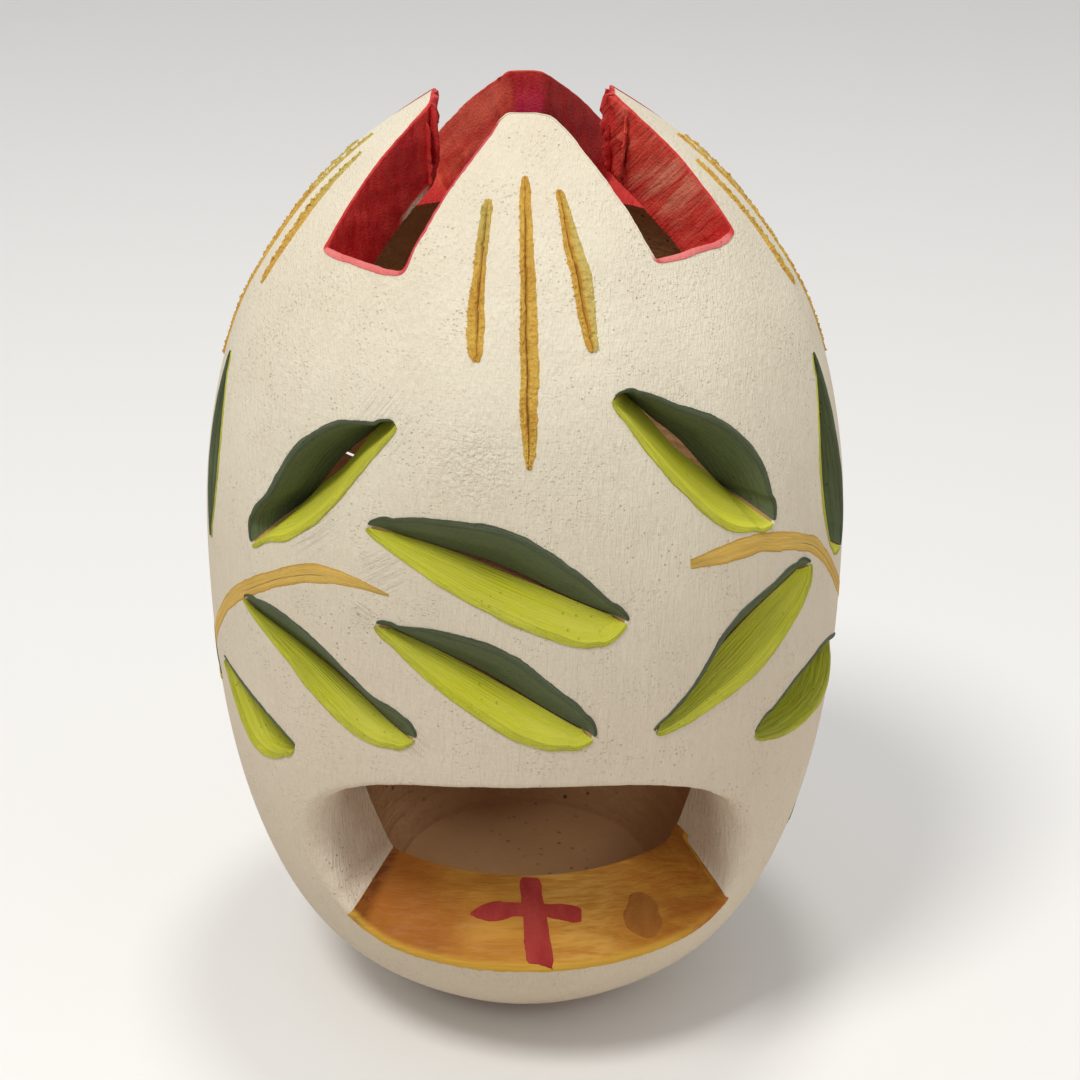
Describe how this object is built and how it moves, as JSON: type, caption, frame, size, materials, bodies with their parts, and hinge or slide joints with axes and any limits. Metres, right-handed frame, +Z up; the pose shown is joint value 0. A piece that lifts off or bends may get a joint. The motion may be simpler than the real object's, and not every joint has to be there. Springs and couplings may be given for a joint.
{
  "type": "candle lantern",
  "caption": "Hollow clay candle lantern shaped like a closed flower bud, with a wide front window, a petal crown and painted leaves carved through its wall.",
  "frame": {"origin": "centre of the foot, on the surface that the lantern stands on", "axes": "+Z up along the axis of the body, -Y out through the window, +X to the right as seen from the window side"},
  "size_m": [0.1, 0.1, 0.1485],
  "materials": {
    "bare_clay": "bare fired earthenware, brown-grey and matte, with faint throwing lines",
    "white_slip": "matte warm white slip, brushed on, with fine pits and scrape marks",
    "red_paint": "matte red paint, brushed thin so that coral shows on the edges",
    "dark_green_paint": "matte dark green paint",
    "lime_green_paint": "matte yellow-green paint",
    "ochre_paint": "matte ochre brush strokes",
    "amber_paint": "matte amber wash, browner at its ends",
    "cross_red_paint": "matte brick red brush strokes",
    "brown_paint": "matte brown-ochre daub"
  },
  "bodies": {
    "root": {"clay_body": "bare_clay", "white_slip": "white_slip", "window_slip": "white_slip", "crown_red_paint": "red_paint", "front_leaves_dark": "dark_green_paint", "front_leaves_lime": "lime_green_paint", "right_leaves_dark": "dark_green_paint", "right_leaves_lime": "lime_green_paint", "back_leaves_dark": "dark_green_paint", "back_leaves_lime": "lime_green_paint", "left_leaves_dark": "dark_green_paint", "left_leaves_lime": "lime_green_paint", "front_vein_paint": "ochre_paint", "right_vein_paint": "ochre_paint", "back_vein_paint": "ochre_paint", "left_vein_paint": "ochre_paint", "front_left_stem": "ochre_paint", "front_right_stem": "ochre_paint", "back_left_stem": "ochre_paint", "back_right_stem": "ochre_paint", "sill_paint": "amber_paint", "sill_cross": "cross_red_paint", "sill_daub": "brown_paint"}
  },
  "joints": []
}
